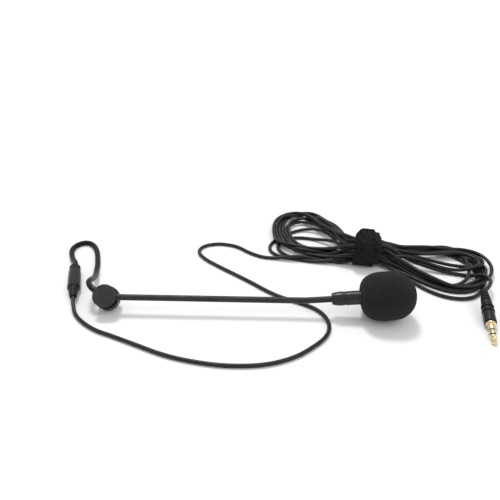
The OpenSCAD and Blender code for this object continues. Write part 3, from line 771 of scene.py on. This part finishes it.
def relief_profile(start, end, start_r, end_r, ribs):
    """A tapered strain relief with raised ribs, closed at both ends."""
    pitch, slope = (end - start) / ribs, (end_r - start_r) / (end - start)
    profile = [(start, 0)]
    for k in range(ribs):
        z, r = start + k * pitch, start_r + slope * k * pitch
        profile += [
            (z, r), (z + 0.55 * pitch, r + slope * 0.55 * pitch),
            (z + 0.65 * pitch, r - 0.5), (z + 0.9 * pitch, r - 0.5),
        ]
    return profile + [(end, end_r), (end, 0)]


def make_connector():
    """The inline connector: grooved collar, body and ribbed strain relief."""
    r = CONNECTOR_R
    relief = relief_profile(SOCKET_END, CONNECTOR_L, r - 0.7, CABLE_D / 2 + 0.9, 4)
    collar = [(0, 0), (0, r - 0.9), (0.6, r - 0.3)]
    for groove in (1.55, 2.95, 4.35):
        collar += [(groove - 0.2, r - 0.3), (groove, r - 0.65), (groove + 0.3, r - 0.3)]
    collar += [(COLLAR_L - 0.05, r - 0.3), (COLLAR_L - 0.05, 0)]
    pieces = [
        turned("connector_collar_moulding", collar, CONNECTOR, "moulding", 0.14),
        turned("connector_body_moulding", [
            (COLLAR_L + 0.05, 0), (COLLAR_L + 0.05, r - 0.4), (COLLAR_L + 0.4, r),
            (SOCKET_END - 0.6, r), (SOCKET_END, r - 0.6), (SOCKET_END, 0),
        ], CONNECTOR, "moulding", 0.3),
        turned("connector_relief_moulding", relief, CONNECTOR, "moulding", 0.2),
    ]
    nodes = ["connector_collar", "connector_body", "connector_relief"]
    for piece, node in zip(pieces, nodes):
        place(piece, "hub", "moulding", node)
    return pieces


def make_plug():
    """The jack plug: ribbed strain relief, barrel with two raised rings, and the contacts of the pin."""
    r, start = PLUG_R, PLUG_REAR + PLUG_RELIEF_L
    ribs = relief_profile(PLUG_REAR, start, CABLE_D / 2 + 0.9, r - 0.55, 4)
    relief = turned("plug_relief_moulding", ribs, PLUG, "moulding", 0.2)
    profile = [(start, 0), (start, r - 0.75), (start + 0.3, r - 0.6), (PLUG_RINGS[0] - 0.6, r - 0.4)]
    for ring_at in PLUG_RINGS:
        profile += [
            (ring_at - 0.55, r - 0.85), (ring_at - 0.1, r - 0.85), (ring_at, r),
            (ring_at + 0.95, r), (ring_at + 1.05, r - 0.8), (ring_at + 1.45, r - 0.8),
            (ring_at + 1.55, r - 0.35),
        ]
    profile += [(-0.7, r - 0.2), (0, r - 0.65), (0, 0)]
    barrel = turned("plug_barrel_moulding", profile, PLUG, "moulding", 0.12)
    sleeve = turned("plug_sleeve_metal", [
        (0.02, 0), (0.02, 2.75), (1, 2.75), (1, PIN_R), (4.8, PIN_R), (4.8, 0),
    ], PLUG, "gold", 0.12)
    ring = turned("plug_ring_metal", [
        (5.6, 0.8), (5.6, PIN_R), (8, PIN_R), (8, 0.8), (5.6, 0.8),
    ], PLUG, "gold", 0.05)
    tip = turned("plug_tip_metal", [
        (8.8, 0), (8.8, PIN_R), (10.4, PIN_R), (11.7, 1.15), (12.1, 1.15),
        (12.8, 1.5), (13.5, 1.6), (14.2, 1.35), (14.8, 0.75), (15, 0),
    ], PLUG, "gold", 0.2)
    place(relief, "hub", "moulding", "plug_relief")
    place(barrel, "hub", "moulding", "plug_barrel")
    place(sleeve, "hub", "gold", "plug_sleeve")
    place(ring, "hub", "gold", "plug_ring")
    place(tip, "hub", "gold", "plug_tip")
    return [relief, barrel, sleeve, ring, tip, frame["nodes"]["plug_insulator"]]


# ---- Tie ----

TIE_SKEW = -11
TIE_AT = (
    Matrix.Translation(Vector((TIE_X, TIE_Y, TIE_OUT / 2)) * MM)
    @ Matrix.Rotation(math.radians(TIE_SKEW), 4, "Z")
)
STRAP_T, SQUARENESS = 1.5, 2.6
# How much the strap narrows over the bundle, and where round it, in degrees from the back
NARROWING, NARROWEST_AT = 4, 65


def strap_point(x, angle, lift, grow):
    """A point on a strap round the bundle: across it, round it from the back, and out from its inside."""
    half = TIE_OUT / 2 - 2 * STRAP_T + grow + lift
    c, s = math.cos(angle), math.sin(angle)
    scale = (abs(c / half) ** SQUARENESS + abs(s / half) ** SQUARENESS) ** (-1 / SQUARENESS)
    return Vector((x, c * scale, s * scale))


def narrowed(x, half_l, angle):
    """Where a point across the strap comes to lie: its left edge moves in by pinch, its right by less."""
    pinch = NARROWING * max(0, math.cos(angle - math.radians(NARROWEST_AT))) ** 5
    return x * (1 - 0.7 * pinch / half_l) + 0.3 * pinch


def strap_section(across):
    """The outline of the strap: places across it, each with a height of 0 inside to 1 outside."""
    edge_steps = 3
    section = [(x, 1) for x in np.linspace(0, 1, across)]
    section += [(1, h) for h in np.linspace(1, 0, edge_steps + 1)[1:]]
    section += [(x, 0) for x in np.linspace(1, 0, across)[1:]]
    return section + [(0, h) for h in np.linspace(0, 1, edge_steps + 1)[1:-1]]


def strap(name, start_x, end_x, angles, grows, skew):
    """A strap wound round the bundle between two angles, in degrees from the back, with a rough pile."""
    steps, across = ((300, 38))
    middle, half_l = (start_x + end_x) / 2, (end_x - start_x) / 2
    section = strap_section(across)
    verts = []
    for i in range(steps + 1):
        t = i / steps
        angle = math.radians(angles[0] + (angles[1] - angles[0]) * t)
        grow = grows[0] + (grows[1] - grows[0]) * t
        for across_at, height in section:
            x = middle + narrowed((2 * across_at - 1) * half_l, half_l, angle) + skew * math.sin(angle)
            if across_at in (0, 1):
                x += 0.35 * noise.noise(Vector((across_at * 3, angle * 3, grow)))
            out = height * STRAP_T + 0.3 * (1 - (2 * across_at - 1) ** 4)
            at = strap_point(x, angle, out, grow)
            tuft = noise.voronoi(at / 0.9)[0][0]
            pile = 0.55 * max(0, 0.55 - tuft) + 0.2 * noise.noise(at * 0.8) + 0.16 * noise.noise(at * 4)
            verts.append(strap_point(x, angle, out + pile * (0.3 + 0.7 * height), grow))
    n = len(section)
    ends = [tuple(range(n)), tuple(range(steps * n + n - 1, steps * n - 1, -1))]
    return add_mesh(name, verts, tube_faces(steps + 1, n) + ends, "tie", TIE_AT)


def loop_pile(name, half_l, lift, grow, count):
    """The strap's fibre loops: small arcs that stand out of its face and edges."""
    rng = np.random.default_rng(11)
    arc, sides, thread = 5, 3, 0.06
    verts, faces = [], []
    for _ in range(count):
        x, angle = rng.uniform(-half_l, half_l), rng.uniform(0, 2 * math.pi)
        x = narrowed(x, half_l, angle)
        foot = strap_point(x, angle, lift, grow)
        out = (strap_point(x, angle, lift + 1, grow) - foot).normalized()
        lean = Vector(rng.normal(size=3)).cross(out).normalized()
        high, wide = rng.uniform(0.3, 0.75), rng.uniform(0.15, 0.4)
        first = len(verts)
        for k in range(arc):
            turn = math.pi * k / (arc - 1)
            at = foot - out * 0.1 + out * high * math.sin(turn) + lean * wide * math.cos(turn)
            side = out.cross(lean)
            away = out * math.sin(turn) + lean * math.cos(turn)
            for j in range(sides):
                roll = 2 * math.pi * j / sides
                verts.append(at + thread * (math.cos(roll) * side + math.sin(roll) * away))
        faces += tube_faces(arc, sides, first)
        faces += [(first, first + 2, first + 1), tuple(range(len(verts) - sides, len(verts)))]
    return add_mesh(name, verts, faces, "tie", TIE_AT)


def make_tie():
    """The hook-and-loop tie: its band, the tail under it and the loops of its pile."""
    half = TIE_W / 2
    under = strap("tie_under_strap", -half + 3, half + 3, (-95, 265), (0, 0.2), 0.5)
    band = strap("tie_band_strap", -half, half, (-75, 262), (STRAP_T + 0.05, STRAP_T + 0.1), 0.4)
    pile = loop_pile("tie_pile", half - 0.3, STRAP_T * 1.1, STRAP_T, 3200)
    place(band, "hub", "tie", "tie_band")
    place(under, "hub", "tie", "tie_tail")
    place(pile, "hub", "tie")
    return [band, under, pile]


# ---- Assembly ----

grommet = make_clasp()
make_boom()
make_barrel()
make_vent()
make_windscreen()
connector = make_connector()
plug = make_plug()
tie = make_tie()

lead_line = smooth_path(LEAD_ROUTE, 2.5)
lead = cord_curve("lead_cord", lead_line, LEAD_D)
lead.data.materials.append(MATERIALS["lead"])
place(lead, "hub", "cord", "lead")

settled_line = evenly(cable_line(), CABLE_D)
cable = cord_curve("cable_cord", settled_line, CABLE_D)
cable.data.materials.append(MATERIALS["cord"])
place(cable, "hub", "cord", "cable", "cable_hank", "plug_lead")

# ---- Finishes of the CAD pieces that show as they are ----

CAD_FINISH = {
    "clasp": ["hub_body", "base_cup"],
    "magnet": ["hub_magnet", "base_magnet"],
    "board": ["hub_board", "capsule_board"],
    "solder_steel": ["core_crimp", "barrel_crimp", "connector_socket",
                     *(f"boom_core_{k}" for k in range(7))],
    "grille": ["front_grille"],
    "felt": ["damping_felt"],
    "capsule": ["capsule_can"],
    "wire": ["capsule_wires"],
    "moulding": ["capsule_boot"],
    "gold": ["connector_pin"],
    "insulator": ["plug_insulator"],
}
SOFT_EDGE = 0.14


def finish_cad_pieces():
    """Gives the CAD's own pieces their materials, and breaks the sharp edges of the two seen ones."""
    for finish, names in CAD_FINISH.items():
        for name in names:
            mesh = frame["nodes"][name].data
            mesh.materials.clear()
            mesh.materials.append(MATERIALS[finish])
    for name in CAD_FINISH["clasp"]:
        edge = frame["nodes"][name].modifiers.new("soft_edges", "BEVEL")
        edge.width, edge.segments = SOFT_EDGE * MM, 2
        edge.limit_method, edge.angle_limit = "ANGLE", math.radians(40)


finish_cad_pieces()

# ---- Floor and light ----

FLOOR_HALF = 3.0
SKY_STRENGTH = 0.74
# Two wide suns, so the floor is evenly lit: where from, how wide in degrees and how strong
SUNS = [("key", (-0.15, 0.5, 1), 14, 1.5), ("fill", (0.7, -0.5, 1), 40, 0.5)]


def make_floor():
    """A plain pale floor, its half side in metres."""
    h = FLOOR_HALF
    data = bpy.data.meshes.new("floor")
    data.from_pydata([(-h, -h, 0), (h, -h, 0), (h, h, 0), (-h, h, 0)], [], [(0, 1, 2, 3)])
    floor = bpy.data.objects.new("floor", data)
    bpy.context.scene.collection.objects.link(floor)
    paint = Surface("floor", (0.86, 0.86, 0.86), 0.7)
    paint.tint(paint.grain(60, 2), (0.85, 0.85, 0.85), (0.88, 0.88, 0.88))
    data.materials.append(paint.material)


def make_light():
    """A white sky and two soft suns."""
    world = bpy.data.worlds.new("studio")
    world.use_nodes = True
    world.node_tree.nodes["Background"].inputs["Color"].default_value = (1, 1, 1, 1)
    world.node_tree.nodes["Background"].inputs["Strength"].default_value = SKY_STRENGTH
    bpy.context.scene.world = world
    # The default view transform lifts blacks and greys the white floor
    bpy.context.scene.view_settings.view_transform = "Standard"
    for name, at, width, strength in SUNS:
        lamp = bpy.data.lights.new(name, "SUN")
        lamp.angle, lamp.energy = math.radians(width), strength
        light = bpy.data.objects.new(name, lamp)
        light.rotation_euler = Vector(at).to_track_quat("Z", "Y").to_euler()
        bpy.context.scene.collection.objects.link(light)


make_floor()
make_light()
